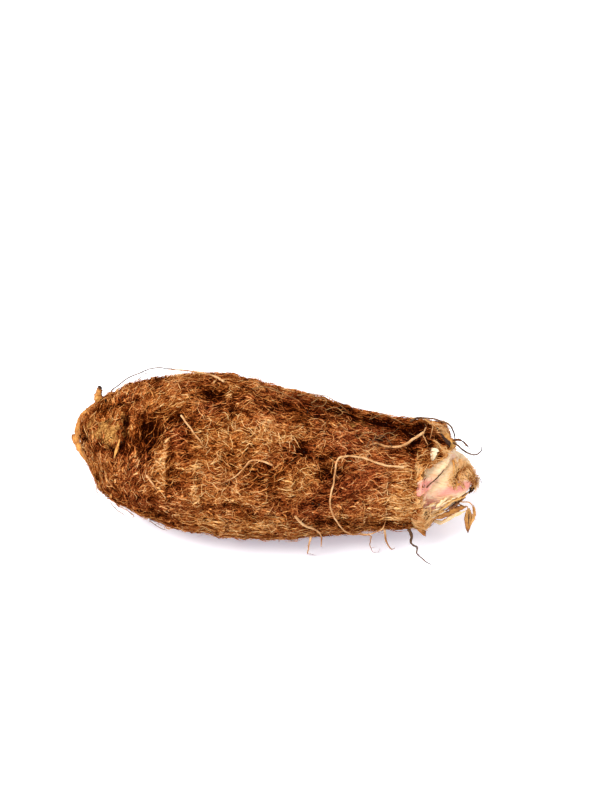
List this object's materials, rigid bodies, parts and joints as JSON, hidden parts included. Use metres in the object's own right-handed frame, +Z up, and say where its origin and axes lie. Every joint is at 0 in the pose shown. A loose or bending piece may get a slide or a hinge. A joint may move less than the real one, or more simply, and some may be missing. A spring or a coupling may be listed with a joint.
{
  "type": "taro root",
  "caption": "Elongated taro corm lying on its side, brown and hairy, with cut cream and pink leaf bases at the shoot end and thin wiry roots.",
  "frame": {"origin": "on the surface that the corm lies on, in the middle of the footprint of the whole object", "axes": "+X along the corm towards its shoot end, +Z up, -Y towards the side with the pink leaf base"},
  "size_m": [0.1694, 0.067, 0.0653],
  "materials": {
    "husk": "matt, rough, matted with dry brown fibres",
    "flesh": "moist cut leaf bases, cream, slightly glossy",
    "pink_flesh": "moist leaf base, rose pink, slightly glossy",
    "dry_scale": "dry, papery, matt tan",
    "root": "matt, pale tan root",
    "dark_root": "matt, dark brown wiry root"
  },
  "bodies": {
    "root": {"corm": "husk", "dry_scale_base_flap": "dry_scale", "dry_scale_base_rim": "dry_scale", "dry_scale_curled": "dry_scale", "dry_scale_hanging": "dry_scale", "dry_scale_lower": "dry_scale", "dry_scale_mouth": "dry_scale", "dry_scale_tip_front": "dry_scale", "dry_scale_tip_top": "dry_scale", "leaf_base_back": "flesh", "leaf_base_bud": "pink_flesh", "leaf_base_middle": "flesh", "leaf_base_outer": "pink_flesh", "leaf_base_under": "flesh", "leaf_base_upper": "flesh", "root_arched": "dark_root", "root_back_1": "root", "root_back_2": "root", "root_back_3": "root", "root_back_4": "root", "root_fork_branch": "root", "root_forked": "root", "root_hooked": "dark_root", "root_kinked": "root", "root_long": "root", "root_low": "root", "root_over_top": "root", "root_short": "root", "root_straight": "root", "root_stub": "dark_root", "root_thick": "root", "root_thick_branch": "root", "root_wavy": "dark_root", "shoot_stump": "flesh"}
  },
  "joints": []
}
